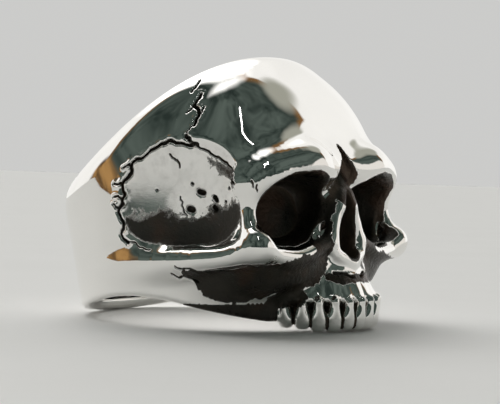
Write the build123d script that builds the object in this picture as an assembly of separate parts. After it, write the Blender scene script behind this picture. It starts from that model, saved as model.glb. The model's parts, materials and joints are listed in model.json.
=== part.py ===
from build123d import *
import math
import os
from collections import namedtuple

import numpy as np

# A skull ring, cast in one piece of silver. The skull has no lower jaw: its base and its
# crown are the two rims of the finger hole, and the back of the head is the ring's shank.
# The form is worked out as a field, the distance to the metal's skin at any spot, then cut
# into facets. The finger hole is an exact cylinder.
# Side is away from the middle plane, ahead is towards the face, up is towards the crown.
# They are measured from the hole's axis, in the plane of the shank's lower edge.

# Driving sizes, in millimetres and degrees, unless they are called a share
finger_bore = 20.7          # diameter of the finger hole, 65 mm round
bore_lean = 13.0            # the hole leans back from the face by this much
least_wall = 0.95           # thinnest metal round the hole
side_wall = 1.9             # metal beside the hole, at the temples
face_depth = 5.5            # from the hole's front to the front teeth
skull_height = 20.2         # from the shank's lower edge to the crown
shank_height = 11.3         # height of the band at the back
shank_wall = 1.5            # thickness of the band
jaw_drop = 2.5              # the jaw's edge hangs this far below the shank's lower edge
jaw_slope = 13.8            # slope of the lower edge down to the jaw
bone = 1.0                  # cast ridges are shares of this thickness
rim_round = 0.9             # rounding of the hole's rims
soft_edge = 0.5             # usual rounding where two forms meet
crown_ahead = 0.47          # the crown is this share of the reach ahead of the hole's axis
forehead = 0.690            # the dome's front half, a share of the reach
brow_up = 0.49              # the face starts at this share of the skull's height
face_ahead = 0.775          # the face under the brows is at this share of the reach
socket_width = 7.9          # eye socket
socket_height = 5.7
socket_depth = 4.6
nose_up = 0.264             # middle of the nose opening, a share of the skull's height
nose_width = 3.2            # nose opening, at its widest
nose_height = 5.6
nose_depth = 2.2
jaw_radius = 5.6            # radius of the row of teeth
jaw_taper = 0.44            # the jaw narrows upwards by this share of its height
gum = 0.35                  # the jaw stands this far outside the teeth's middle line
tooth_width = 1.30          # front teeth, the others are shares of it
tooth_height = 2.95
tooth_thick = 1.3
tooth_neck = 0.60           # a tooth's neck is this share of its width
tooth_slant = 9.0           # the teeth lean inwards at their tips
net_step = 0.52             # size of a facet on the face and teeth
least_side = 0.03           # knots that settle closer than this stay where they were
hidden = 0.35               # the facets overlap the exact hole by this much

bore_radius = finger_bore / 2
half_width = bore_radius + side_wall
reach = bore_radius + face_depth
jaw_middle = reach - jaw_radius - tooth_thick / 2
gum_line = -tooth_height / 3
crisp_edge = soft_edge / 2
broad_edge = 2 * soft_edge
vault_edge = 3 * soft_edge
crown_edge = 5 * soft_edge

Spot = namedtuple("Spot", "side ahead up")
Bead = namedtuple("Bead", "side ahead up thick")
Lump = namedtuple("Lump", "side ahead up wide long high turn")
Tooth = namedtuple("Tooth", "angle wide tall")

# In these tables side is a share of half_width, ahead of reach, up of skull_height and
# thick of bone. Each lists one ridge or hollow from end to end.
BROW = [
    Bead(0.00, 0.770, 0.520, 1.20),
    Bead(0.18, 0.800, 0.500, 1.20),
    Bead(0.38, 0.800, 0.510, 1.20),
]
BROW_END = [
    Bead(0.38, 0.800, 0.510, 1.05),
    Bead(0.57, 0.785, 0.500, 1.05),
    Bead(0.73, 0.750, 0.475, 1.05),
    Bead(0.82, 0.705, 0.440, 0.80),
]
SOCKET_SIDE = [
    Bead(0.82, 0.700, 0.440, 0.80),
    Bead(0.84, 0.685, 0.327, 0.65),
    Bead(0.86, 0.705, 0.241, 0.80),
]
SOCKET_FLOOR = [
    Bead(0.86, 0.745, 0.186, 1.20),
    Bead(0.70, 0.775, 0.150, 0.90),
    Bead(0.49, 0.810, 0.140, 0.75),
    Bead(0.30, 0.830, 0.175, 0.65),
    Bead(0.19, 0.845, 0.200, 0.60),
]
CHEEK_ARCH = [
    Bead(0.52, -0.500, 0.020, 1.30),
    Bead(0.79, -0.200, 0.080, 1.50),
    Bead(0.88, 0.100, 0.112, 1.52),
    Bead(0.93, 0.410, 0.130, 1.05),
    Bead(0.92, 0.590, 0.144, 0.90),
    Bead(0.86, 0.745, 0.183, 1.28),
]
FURROW = [
    Bead(0.00, 0.800, 0.590, 0.15),
    Bead(0.00, 0.836, 0.520, 0.65),
    Bead(0.00, 0.866, 0.465, 1.30),
    Bead(0.00, 0.880, 0.425, 1.50),
]
NOSE_BRIDGE = [
    Bead(0.00, 0.770, 0.450, 0.95),
    Bead(0.00, 0.815, 0.390, 0.85),
    Bead(0.06, 0.845, 0.340, 0.65),
]
NOSE_RIM = [
    Bead(0.060, 0.830, 0.390, 0.60),
    Bead(0.110, 0.842, 0.312, 0.55),
    Bead(0.160, 0.848, 0.221, 0.60),
    Bead(0.147, 0.862, 0.148, 0.60),
    Bead(0.000, 0.885, 0.112, 0.62),
]
CHEEK_RECESS = [
    Bead(1.04, 0.350, 0.030, 0.55),
    Bead(1.01, 0.480, 0.018, 1.25),
    Bead(0.93, 0.640, 0.010, 1.75),
    Bead(0.80, 0.780, 0.012, 1.85),
    Bead(0.63, 0.870, 0.022, 1.60),
    Bead(0.46, 0.925, 0.040, 1.20),
]
# Lumps have their middle in the same shares, then wide, long and high radii as shares of
# half_width, reach and skull_height, and the angle that they are turned to the front.
VAULT = Lump(0.00, 0.139, 0.362, 1.005, 0.833, 0.658, 0)
TEMPLE = Lump(0.99, 0.264, 0.388, 0.108, 0.458, 0.250, 14)
TEMPLE_PIT = Lump(0.97, 0.400, 0.268, 0.165, 0.165, 0.145, 20)
CHEEK = Lump(0.44, 0.665, 0.115, 0.430, 0.165, 0.130, -14)
NASAL = Lump(0.00, 0.795, 0.275, 0.180, 0.075, 0.185, 0)
SOCKET = Lump(0.50, 0.808, 0.332, 0, 0, 0, 17)
# Teeth of one side from the middle: angle round the jaw, and shares of tooth_width and
# tooth_height
TEETH = [
    Tooth(6.5, 1.02, 1.00),
    Tooth(19.5, 0.96, 0.98),
    Tooth(33.0, 1.04, 1.03),
    Tooth(46.5, 1.02, 1.01),
    Tooth(60.0, 1.04, 0.86),
    Tooth(74.5, 1.00, 0.79),
]


def join(first, second, blend):
    """Both forms, with a fillet of about this size between them."""
    near = np.maximum(blend - np.abs(first - second), 0.0) / blend
    return np.minimum(first, second) - near * near * blend / 4


def common(first, second, blend):
    """What both forms share, with a rounded edge."""
    return -join(-first, -second, blend)


def carve(form, tool, blend):
    """The form without the tool, with a rounded edge."""
    return common(form, -tool, blend)


def turned(spot, middle, angle):
    """The spot as seen from a middle, with the side way turned towards the front."""
    side, ahead, up = [place - centre for place, centre in zip(spot, middle)]
    turn = math.radians(angle)
    across = side * math.cos(turn) + ahead * math.sin(turn)
    return across, ahead * math.cos(turn) - side * math.sin(turn), up


def lump(spot, table):
    """An ellipsoid."""
    middle = (table.side * half_width, table.ahead * reach, table.up * skull_height)
    radii = (table.wide * half_width, table.long * reach, table.high * skull_height)
    ways = [np.abs(way) / radius + 1e-6
            for way, radius in zip(turned(spot, middle, table.turn), radii)]
    size = np.sqrt(sum(way ** 2 for way in ways))
    slope = sum((way / radius) ** 2 for way, radius in zip(ways, radii))
    return (size - 1) * size / np.sqrt(slope)


def vault(spot):
    """The dome of the head, squarer in front than behind."""
    ahead = spot.ahead - VAULT.ahead * reach
    in_front = ahead > 0
    radii = (VAULT.wide * half_width, np.where(in_front, forehead, VAULT.long) * reach,
             VAULT.high * skull_height)
    offsets = (spot.side, ahead, spot.up - VAULT.up * skull_height)
    wide, long, high = [np.abs(way) / radius + 1e-6 for way, radius in zip(offsets, radii)]
    power = np.where(in_front, 3.0, 2.1)
    plan = (wide ** power + long ** power) ** (1 / power)
    size = (plan ** 2.1 + high ** 2.1) ** (1 / 2.1)
    level = (plan / size) ** 1.1
    slope = ((level * (wide / plan) ** (power - 1) / radii[0]) ** 2
             + (level * (long / plan) ** (power - 1) / radii[1]) ** 2
             + ((high / size) ** 1.1 / radii[2]) ** 2)
    return (size - 1) / np.sqrt(slope)


def eased(beads):
    """More beads along a smooth line through the given ones."""
    row = [beads[0]] + list(beads) + [beads[-1]]
    finer = []
    for before, start, end, after in zip(row, row[1:], row[2:], row[3:]):
        for share in (0, 0.25, 0.5, 0.75):
            finer.append(Bead(*[
                0.5 * (2 * b + (c - a) * share + (2 * a - 5 * b + 4 * c - d) * share ** 2
                       + (3 * b - a - 3 * c + d) * share ** 3)
                for a, b, c, d in zip(before, start, end, after)]))
    return finer + [beads[-1]]


def ridge(spot, beads):
    """A tapered bar along a row of beads."""
    form = None
    row = [np.array([bead.side * half_width, bead.ahead * reach, bead.up * skull_height,
                     bead.thick * bone]) for bead in eased(beads)]
    for start, end in zip(row[:-1], row[1:]):
        run = (end - start)[:3]
        offset = [place - near for place, near in zip(spot, start[:3])]
        share = np.clip(sum(o * r for o, r in zip(offset, run)) / (run @ run), 0, 1)
        gap = np.sqrt(sum((o - share * r) ** 2 for o, r in zip(offset, run)))
        bar = gap - start[3] - share * (end[3] - start[3])
        form = bar if form is None else np.minimum(form, bar)
    return form


def hole_way(spot):
    """Distance from the finger hole's axis, how far in front of it, and height along it."""
    lean = math.radians(bore_lean)
    front = spot.ahead * math.cos(lean) + spot.up * math.sin(lean)
    along = spot.up * math.cos(lean) - spot.ahead * math.sin(lean)
    return np.hypot(spot.side, front), front, along


def smooth(share):
    share = np.clip(share, 0, 1)
    return share * share * (3 - 2 * share)


def upper_edge(spot):
    """The rim climbs from the band at the back to the crown, steepest at the temples."""
    run = half_width + crown_ahead * reach
    share = np.clip((spot.ahead + half_width) / run, 0, 1) ** 1.25
    back = shank_height - half_width * math.tan(math.radians(bore_lean))
    rounded_off = crown_edge / 8
    level = back + (skull_height - back) * (share + smooth(share)) / 2 + rounded_off
    return (spot.up - level) / math.hypot(1, (skull_height - back) / run)


def lower_edge(spot):
    """The band's lower edge is square to the hole, and slopes down to the jaw in front."""
    slope = math.radians(jaw_slope)
    band = spot.ahead * math.tan(math.radians(bore_lean))
    jaw_side = np.maximum(-math.tan(slope) * spot.ahead, -jaw_drop)
    return (join(band, jaw_side, 2 * broad_edge) - spot.up) * math.cos(slope)


def tooth_form(spot, tooth):
    """A rounded crown that narrows towards the gum."""
    turn = math.radians(tooth.angle)
    middle = (jaw_radius * math.sin(turn), jaw_middle + jaw_radius * math.cos(turn),
              gum_line - 0.31 * tooth_height)
    along, out, up = turned(spot, middle, -tooth.angle)
    out = out - up * math.tan(math.radians(tooth_slant))
    neck = 1 - (1 - tooth_neck) * smooth((up + tooth_height / 5) / (tooth_height / 2))
    corner = 0.45 * tooth_width
    ways = [np.abs(along) - neck * tooth.wide * tooth_width / 2 + corner,
            np.abs(out) - tooth_thick / 2 + corner,
            np.abs(up) - tooth.tall * tooth_height / 2 + corner]
    outside = np.sqrt(sum(np.maximum(way, 0) ** 2 for way in ways))
    return outside + np.minimum(np.maximum.reduce(ways), 0) - corner


def teeth(spot):
    """The row of teeth."""
    return np.minimum.reduce([tooth_form(spot, tooth) for tooth in TEETH])


def jaw(spot):
    """The upper jaw: a stub that widens down to the gums, with a bulge over each root."""
    angle = np.degrees(np.arctan2(spot.side, spot.ahead - jaw_middle))
    root = np.maximum.reduce([smooth(1 - np.abs(angle - tooth.angle) / 8) for tooth in TEETH])
    taper = jaw_taper * np.clip(spot.up - gum_line / 2, 0, 4 * broad_edge)
    bulge = gum / 3 * root * smooth((tooth_height / 2 - spot.up) / tooth_height * 1.6)
    inwards = 2.4 * gum * smooth((gum_line - spot.up) / broad_edge + 0.3)
    radius = jaw_radius + gum / 2 + bulge - taper - inwards
    stub = np.hypot(spot.side, spot.ahead - jaw_middle) - radius
    return np.maximum(stub, np.maximum(spot.up - 1.2 * tooth_height, -jaw_drop - spot.up))


def socket(spot):
    """An eye socket, turned out from the face, narrowing inwards."""
    middle = (SOCKET.side * half_width, SOCKET.ahead * reach, SOCKET.up * skull_height)
    across, out, up = turned(spot, middle, -SOCKET.turn)
    up = up + 0.10 * across
    deep = np.maximum(out, -socket_depth)
    wide = socket_width / 2 + 0.12 * deep
    high = socket_height / 2 + 0.10 * deep
    size = ((np.abs(across) / wide) ** 2.4 + (np.abs(up) / high) ** 2.4) ** (1 / 2.4)
    return common((size - 1) * socket_height / 2, -(out + socket_depth), vault_edge)


def nose(spot):
    """A pear-shaped opening, narrow at the top."""
    rise = (spot.up - nose_up * skull_height) / (nose_height / 2)
    wide = nose_width * (0.15 + 0.175 * np.clip(1.2 - rise, 0, 2))
    size = np.hypot(spot.side / wide, rise)
    floor = 0.89 * reach - nose_depth - spot.ahead
    return common((size - 1) * nose_width / 2, floor, soft_edge)


def face_front(spot):
    """The space ahead of the face under the brows."""
    ahead = face_ahead * reach + 0.12 * (spot.up - 0.2 * skull_height) - spot.ahead
    return common(ahead, spot.up - brow_up * skull_height, broad_edge)


def metal(spot, hole_radius):
    """The ring's skin: below zero inside the metal."""
    spot = Spot(np.abs(spot.side), spot.ahead, spot.up)
    reach_out, front, along = hole_way(spot)
    form = vault(spot)
    form = join(form, reach_out - bore_radius - shank_wall, vault_edge)
    form = carve(form, face_front(spot), vault_edge)
    form = carve(form, lump(spot, TEMPLE), crisp_edge)
    form = carve(form, lump(spot, TEMPLE_PIT), vault_edge)
    form = join(form, lump(spot, CHEEK), broad_edge)
    form = carve(form, ridge(spot, CHEEK_RECESS), soft_edge)
    form = join(form, jaw(spot), broad_edge)
    form = join(form, ridge(spot, BROW), vault_edge)
    form = join(form, ridge(spot, BROW_END), 2 * vault_edge)
    form = join(form, ridge(spot, SOCKET_SIDE), soft_edge)
    form = join(form, ridge(spot, SOCKET_FLOOR), soft_edge)
    form = join(form, ridge(spot, CHEEK_ARCH), broad_edge)
    form = carve(form, ridge(spot, FURROW), crisp_edge)
    form = carve(form, socket(spot), soft_edge)
    form = join(form, lump(spot, NASAL), soft_edge)
    form = join(form, ridge(spot, NOSE_BRIDGE), soft_edge)
    form = join(form, ridge(spot, NOSE_RIM), soft_edge)
    form = carve(form, nose(spot), crisp_edge)
    form = np.minimum(form, reach_out - bore_radius - least_wall)
    form = common(form, upper_edge(spot), crown_edge)
    form = common(form, lower_edge(spot), soft_edge)
    form = join(form, teeth(spot), crisp_edge)
    return common(form, hole_radius - reach_out, rim_round)


# FACETS: the field is sampled on a grid and its skin cut into triangles

def lines(start, spans):
    """Grid lines from a start, with a step for each span."""
    places = [start]
    for end, step in spans:
        count = max(1, round((end - places[-1]) / step))
        places += list(np.linspace(places[-1], end, count + 1)[1:])
    return np.array(places)


def grid():
    """Lines close together on the face and teeth, wider apart on the shank and crown."""
    wide = half_width + 2 * bone
    mouth = jaw_radius + 2 * gum
    cheek = face_ahead * reach - 1.5 * bone
    low = -tooth_height - bone
    side = lines(-wide, [(-mouth, 1.6 * net_step), (mouth, net_step), (wide, 1.6 * net_step)])
    ahead = lines(-half_width - 3 * bone, [(0.3 * reach, 2.2 * net_step),
                                           (cheek, 1.4 * net_step), (reach + bone, net_step)])
    up = lines(low, [(0, 0.9 * net_step), (0.62 * skull_height, 1.2 * net_step),
                     (skull_height + 2 * bone, 2 * net_step)])
    return side, ahead, up


def corners(values):
    """The eight corners of every cell, as shifted views."""
    ends = [(slice(0, -1), slice(1, None))] * 3
    return {(i, j, k): values[ends[0][i], ends[1][j], ends[2][k]]
            for i in (0, 1) for j in (0, 1) for k in (0, 1)}


def mended(values):
    """Fill the spots where metal would meet metal only along an edge or at a corner."""
    while True:
        inside = values < 0
        fill = np.zeros_like(inside)
        for way in range(3):
            flat = [slice(None)] * 3
            one, two = [other for other in range(3) if other != way]
            square = {}
            for i in (0, 1):
                for j in (0, 1):
                    flat[one] = slice(i, inside.shape[one] - 1 + i)
                    flat[two] = slice(j, inside.shape[two] - 1 + j)
                    square[i, j] = tuple(flat)
            crossed = ((inside[square[0, 0]] == inside[square[1, 1]])
                       & (inside[square[0, 1]] == inside[square[1, 0]])
                       & (inside[square[0, 0]] != inside[square[0, 1]]))
            for view in square.values():
                fill[view] |= crossed
        corner = corners(inside)
        total = sum(view.astype(int) for view in corner.values())
        for i, j, k in ((0, 0, 0), (1, 0, 0), (0, 1, 0), (0, 0, 1)):
            pair = corner[i, j, k] == corner[1 - i, 1 - j, 1 - k]
            lonely = pair & (((total == 2) & corner[i, j, k]) | ((total == 6) & ~corner[i, j, k]))
            for view in corners(fill).values():
                view |= lonely
        fill &= ~inside
        if not fill.any():
            return values
        values = np.where(fill, -0.02, values)


def net(values, axes):
    """A net over the skin: one knot in each cell that the skin crosses, and its meshes."""
    inside = values < 0
    total = sum(view.astype(int) for view in corners(inside).values())
    cells = np.array(np.nonzero((total > 0) & (total < 8)))
    number = np.full(total.shape, -1)
    number[tuple(cells)] = np.arange(cells.shape[1])
    places = np.zeros(cells.T.shape)
    count = np.zeros(cells.shape[1])
    for way in range(3):
        one, two = [other for other in range(3) if other != way]
        for i in (0, 1):
            for j in (0, 1):
                near = cells.copy()
                near[one] += i
                near[two] += j
                far = near.copy()
                far[way] += 1
                first, last = values[tuple(near)], values[tuple(far)]
                crossed = (first < 0) != (last < 0)
                share = first / np.where(crossed, first - last, 1)
                ends = [np.array([axis[row] for axis, row in zip(axes, end)]).T
                        for end in (near, far)]
                step = ends[0] + (ends[1] - ends[0]) * share[:, None]
                places += np.where(crossed[:, None], step, 0)
                count += crossed
    meshes = []
    for way in range(3):
        one, two = (way + 1) % 3, (way + 2) % 3
        low = np.swapaxes(inside, 0, way)[:-1]
        high = np.swapaxes(inside, 0, way)[1:]
        edges = np.array(np.nonzero(low != high))
        out = high[tuple(edges)]
        edges[[0, way]] = edges[[way, 0]]
        loop = []
        for i, j in ((-1, -1), (0, -1), (0, 0), (-1, 0)):
            cell = edges.copy()
            cell[one] += i
            cell[two] += j
            loop.append(number[tuple(cell)])
        loop = np.array(loop).T
        loop[out] = loop[out][:, ::-1]
        meshes.append(loop)
    return places / count[:, None], np.vstack(meshes)


def outermost(meshes):
    """The largest net only: a pocket smaller than a facet is filled, and a crumb left out."""
    net_of = np.arange(meshes.max() + 1)
    while True:
        lowest = net_of.copy()
        np.minimum.at(lowest, meshes, net_of[meshes].min(1)[:, None])
        lowest = lowest[lowest]
        if (lowest == net_of).all():
            break
        net_of = lowest
    names, sizes = np.unique(net_of[meshes[:, 0]], return_counts=True)
    return meshes[net_of[meshes[:, 0]] == names[sizes.argmax()]]


def settled(places, skin):
    """Move the knots onto the skin, along its slope."""
    reach_step = 0.02
    for _ in range(3):
        slope = np.array([(skin(places + shift) - skin(places - shift)) / (2 * reach_step)
                          for shift in reach_step * np.eye(3)]).T
        step = skin(places)[:, None] * slope / np.maximum((slope ** 2).sum(1), 0.25)[:, None]
        places = places - np.clip(step, -0.2 * net_step, 0.2 * net_step)
    return places


def facets(skin):
    """Knots on the skin and the triangles between them."""
    axes = grid()
    spots = np.meshgrid(*axes, indexing="ij")
    values = mended(skin(np.array([spot.ravel() for spot in spots]).T).reshape(spots[0].shape))
    loose, meshes = net(values, axes)
    meshes = outermost(meshes)
    places = settled(loose, skin)
    ends = np.stack([meshes, np.roll(meshes, -1, axis=1)], axis=-1).reshape(-1, 2)
    crowded = ends[np.linalg.norm(places[ends[:, 0]] - places[ends[:, 1]], axis=1) < least_side]
    places[crowded] = loose[crowded]
    middles = [(places[meshes[:, i]] + places[meshes[:, i + 2]]) / 2 for i in (0, 1)]
    first = np.abs(skin(middles[0])) < np.abs(skin(middles[1]))
    corner = [np.where(first, meshes[:, i], meshes[:, (i + 1) % 4]) for i in range(4)]
    triangles = np.vstack([np.array([corner[0], corner[1], corner[2]]).T,
                           np.array([corner[0], corner[2], corner[3]]).T])
    return places, triangles


def plugged(places, triangles):
    """The facets in the hole give way to a flat cone at each end, so that few are cut away."""
    out, front, along = hole_way(Spot(*places.T))
    buried = out < bore_radius - 0.85 * hidden
    upper = along > along[buried].mean()
    last = len(places)
    while True:
        number = np.arange(last)
        number[buried] = np.where(upper[buried], last + 1, last)
        rows = number[triangles]
        rows = rows[(rows[:, 0] != rows[:, 1]) & (rows[:, 1] != rows[:, 2])
                    & (rows[:, 2] != rows[:, 0])]
        rims = rows[(rows >= last).any(1)]
        knots, uses = np.unique(rims[rims < last], return_counts=True)
        pinched = knots[uses > 2]
        if not len(pinched):
            break
        buried[pinched] = True
    lean = math.radians(bore_lean)
    for cone in (last, last + 1):
        rim = rows[(rows == cone).any(1)]
        height = along[rim[rim < last]].mean()
        places = np.vstack([places, [0, -height * math.sin(lean), height * math.cos(lean)]])
    return places, rows


def resting_tilt(places):
    """The turn about the side axis that sets teeth and shank level."""
    tilt = 0.0
    for _ in range(12):
        level = places[:, 2] * math.cos(tilt) + places[:, 1] * math.sin(tilt)
        front = np.where(places[:, 1] > 0, level, np.inf).argmin()
        back = np.where(places[:, 1] < 0, level, np.inf).argmin()
        run = places[front, 1] - places[back, 1]
        tilt += math.atan((level[back] - level[front]) / run)
    return tilt


def skull_ring():
    """The casting at rest on its teeth and shank, with the hole's axis over the origin."""
    places, triangles = plugged(*facets(lambda at: metal(Spot(*at.T), bore_radius - hidden)))
    points = [Vector(side, -ahead, up) for side, ahead, up in places.tolist()]
    sides = [Face(Wire.make_polygon([points[corner] for corner in row]))
             for row in triangles.tolist()]
    casting = Solid(Shell(sides))
    hole = Cylinder(bore_radius, 4 * skull_height).rotate(Axis.X, -bore_lean)
    ring = (casting - hole).solid()
    knots = np.array([(v.X, -v.Y, v.Z) for v in ring.vertices()])
    tilt = resting_tilt(knots)
    floor = (knots[:, 2] * math.cos(tilt) + knots[:, 1] * math.sin(tilt)).min()
    lean = math.radians(bore_lean) + tilt
    ring = ring.rotate(Axis.X, -math.degrees(tilt))
    return ring.translate((0, -floor * math.tan(lean), -floor)), math.degrees(lean)


def main():
    ring, lean = skull_ring()
    ring.label = "skull_ring"
    os.makedirs("parts", exist_ok=True)
    export_step(ring, "parts/skull_ring.step", write_pcurves=False)
    size = ring.bounding_box().size
    print(f"skull_ring {size.X:.2f} x {size.Y:.2f} x {size.Z:.2f} mm, {ring.volume:.0f} mm3")
    print(f"{len(ring.faces())} faces, the hole leans back {lean:.2f} degrees at rest")


main()
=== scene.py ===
import json
import math
from collections import namedtuple

import bpy
import numpy as np
from mathutils import Matrix, Vector
from mathutils.kdtree import KDTree


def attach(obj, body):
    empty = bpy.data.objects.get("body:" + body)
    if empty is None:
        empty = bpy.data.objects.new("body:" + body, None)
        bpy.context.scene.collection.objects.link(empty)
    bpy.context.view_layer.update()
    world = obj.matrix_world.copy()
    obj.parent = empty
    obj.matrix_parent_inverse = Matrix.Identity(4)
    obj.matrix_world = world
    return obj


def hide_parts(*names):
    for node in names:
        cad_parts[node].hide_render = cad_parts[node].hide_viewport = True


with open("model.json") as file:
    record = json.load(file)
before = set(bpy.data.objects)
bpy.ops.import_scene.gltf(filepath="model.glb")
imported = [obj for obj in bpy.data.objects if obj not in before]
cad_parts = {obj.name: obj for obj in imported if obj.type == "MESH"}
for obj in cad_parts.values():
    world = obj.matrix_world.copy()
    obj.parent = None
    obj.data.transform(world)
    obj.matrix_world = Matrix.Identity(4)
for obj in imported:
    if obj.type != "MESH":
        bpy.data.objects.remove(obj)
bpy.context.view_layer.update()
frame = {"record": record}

# The skull ring, cast in one piece of silver, polished, with dark patina left in its hollows.
# Its skin is worked out as a field, as the solid is, with finer facets and the small seams,
# cracks and grooves that the caster cut. The field is in millimetres, in the ring's own way
# up: side from the middle plane, ahead towards the face, up towards the crown.

# Driving sizes, in millimetres and degrees, unless they are called a share
finger_bore = 20.7          # diameter of the finger hole, 65 mm round
bore_lean = 13.0            # the hole leans back from the face by this much
least_wall = 0.95           # thinnest metal round the hole
side_wall = 1.9             # metal beside the hole, at the temples
face_depth = 5.5            # from the hole's front to the front teeth
skull_height = 20.2         # from the shank's lower edge to the crown
shank_height = 11.3         # height of the band at the back
shank_wall = 1.5            # thickness of the band
jaw_drop = 2.5              # the jaw's edge hangs this far below the shank's lower edge
jaw_slope = 13.8            # slope of the lower edge down to the jaw
bone = 1.0                  # cast ridges are shares of this thickness
rim_round = 0.9             # rounding of the hole's rims
soft_edge = 0.5             # usual rounding where two forms meet
crown_ahead = 0.47          # the crown is this share of the reach ahead of the hole's axis
forehead = 0.690            # the dome's front half, a share of the reach
brow_up = 0.49              # the face starts at this share of the skull's height
face_ahead = 0.775          # the face under the brows is at this share of the reach
socket_width = 7.9          # eye socket
socket_height = 5.7
socket_depth = 4.6
nose_up = 0.264             # middle of the nose opening, a share of the skull's height
nose_width = 3.2            # nose opening, at its widest
nose_height = 5.6
nose_depth = 2.2
jaw_radius = 5.6            # radius of the row of teeth
jaw_taper = 0.44            # the jaw narrows upwards by this share of its height
gum = 0.35                  # the jaw stands this far outside the teeth's middle line
tooth_width = 1.30          # front teeth, the others are shares of it
tooth_height = 2.95
tooth_thick = 1.3
tooth_neck = 0.60           # a tooth's neck is this share of its width
tooth_slant = 9.0           # the teeth lean inwards at their tips
net_step = 0.24             # size of a mesh on the face and teeth

bore_radius = finger_bore / 2
half_width = bore_radius + side_wall
reach = bore_radius + face_depth
jaw_middle = reach - jaw_radius - tooth_thick / 2
gum_line = -tooth_height / 3
crisp_edge = soft_edge / 2
broad_edge = 2 * soft_edge
vault_edge = 3 * soft_edge
crown_edge = 5 * soft_edge

Spot = namedtuple("Spot", "side ahead up")
Bead = namedtuple("Bead", "side ahead up thick")
Lump = namedtuple("Lump", "side ahead up wide long high turn")
Tooth = namedtuple("Tooth", "angle wide tall")

# In these tables side is a share of half_width, ahead of reach, up of skull_height and
# thick of bone. Each lists one ridge or hollow from end to end.
BROW = [
    Bead(0.00, 0.770, 0.520, 1.20),
    Bead(0.18, 0.800, 0.500, 1.20),
    Bead(0.38, 0.800, 0.510, 1.20),
]
BROW_END = [
    Bead(0.38, 0.800, 0.510, 1.05),
    Bead(0.57, 0.785, 0.500, 1.05),
    Bead(0.73, 0.750, 0.475, 1.05),
    Bead(0.82, 0.705, 0.440, 0.80),
]
SOCKET_SIDE = [
    Bead(0.82, 0.700, 0.440, 0.80),
    Bead(0.84, 0.685, 0.327, 0.65),
    Bead(0.86, 0.705, 0.241, 0.80),
]
SOCKET_FLOOR = [
    Bead(0.86, 0.745, 0.186, 1.20),
    Bead(0.70, 0.775, 0.150, 0.90),
    Bead(0.49, 0.810, 0.140, 0.75),
    Bead(0.30, 0.830, 0.175, 0.65),
    Bead(0.19, 0.845, 0.200, 0.60),
]
CHEEK_ARCH = [
    Bead(0.52, -0.500, 0.020, 1.30),
    Bead(0.79, -0.200, 0.080, 1.50),
    Bead(0.88, 0.100, 0.112, 1.52),
    Bead(0.93, 0.410, 0.130, 1.05),
    Bead(0.92, 0.590, 0.144, 0.90),
    Bead(0.86, 0.745, 0.183, 1.28),
]
FURROW = [
    Bead(0.00, 0.800, 0.590, 0.15),
    Bead(0.00, 0.836, 0.520, 0.65),
    Bead(0.00, 0.866, 0.465, 1.30),
    Bead(0.00, 0.880, 0.425, 1.50),
]
NOSE_BRIDGE = [
    Bead(0.00, 0.770, 0.450, 0.95),
    Bead(0.00, 0.815, 0.390, 0.85),
    Bead(0.06, 0.845, 0.340, 0.65),
]
NOSE_RIM = [
    Bead(0.060, 0.830, 0.390, 0.60),
    Bead(0.110, 0.842, 0.312, 0.55),
    Bead(0.160, 0.848, 0.221, 0.60),
    Bead(0.147, 0.862, 0.148, 0.60),
    Bead(0.000, 0.885, 0.112, 0.62),
]
CHEEK_RECESS = [
    Bead(1.04, 0.350, 0.030, 0.55),
    Bead(1.01, 0.480, 0.018, 1.25),
    Bead(0.93, 0.640, 0.010, 1.75),
    Bead(0.80, 0.780, 0.012, 1.85),
    Bead(0.63, 0.870, 0.022, 1.60),
    Bead(0.46, 0.925, 0.040, 1.20),
]
# Lumps have their middle in the same shares, then wide, long and high radii as shares of
# half_width, reach and skull_height, and the angle that they are turned to the front.
VAULT = Lump(0.00, 0.139, 0.362, 1.005, 0.833, 0.658, 0)
TEMPLE = Lump(0.99, 0.264, 0.388, 0.108, 0.458, 0.250, 14)
TEMPLE_PIT = Lump(0.97, 0.400, 0.268, 0.165, 0.165, 0.145, 20)
CHEEK = Lump(0.44, 0.665, 0.115, 0.430, 0.165, 0.130, -14)
NASAL = Lump(0.00, 0.795, 0.275, 0.180, 0.075, 0.185, 0)
SOCKET = Lump(0.50, 0.808, 0.332, 0, 0, 0, 17)
# Teeth of one side from the middle: angle round the jaw, and shares of tooth_width and
# tooth_height
TEETH = [
    Tooth(6.5, 1.02, 1.00),
    Tooth(19.5, 0.96, 0.98),
    Tooth(33.0, 1.04, 1.03),
    Tooth(46.5, 1.02, 1.01),
    Tooth(60.0, 1.04, 0.86),
    Tooth(74.5, 1.00, 0.79),
]


def join(first, second, blend):
    """Both forms, with a fillet of about this size between them."""
    near = np.maximum(blend - np.abs(first - second), 0.0) / blend
    return np.minimum(first, second) - near * near * blend / 4


def common(first, second, blend):
    """What both forms share, with a rounded edge."""
    return -join(-first, -second, blend)


def carve(form, tool, blend):
    """The form without the tool, with a rounded edge."""
    return common(form, -tool, blend)


def turned(spot, middle, angle):
    """The spot as seen from a middle, with the side way turned towards the front."""
    side, ahead, up = [place - centre for place, centre in zip(spot, middle)]
    turn = math.radians(angle)
    across = side * math.cos(turn) + ahead * math.sin(turn)
    return across, ahead * math.cos(turn) - side * math.sin(turn), up


def lump(spot, table):
    """An ellipsoid."""
    middle = (table.side * half_width, table.ahead * reach, table.up * skull_height)
    radii = (table.wide * half_width, table.long * reach, table.high * skull_height)
    ways = [np.abs(way) / radius + 1e-6
            for way, radius in zip(turned(spot, middle, table.turn), radii)]
    size = np.sqrt(sum(way ** 2 for way in ways))
    slope = sum((way / radius) ** 2 for way, radius in zip(ways, radii))
    return (size - 1) * size / np.sqrt(slope)


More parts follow.
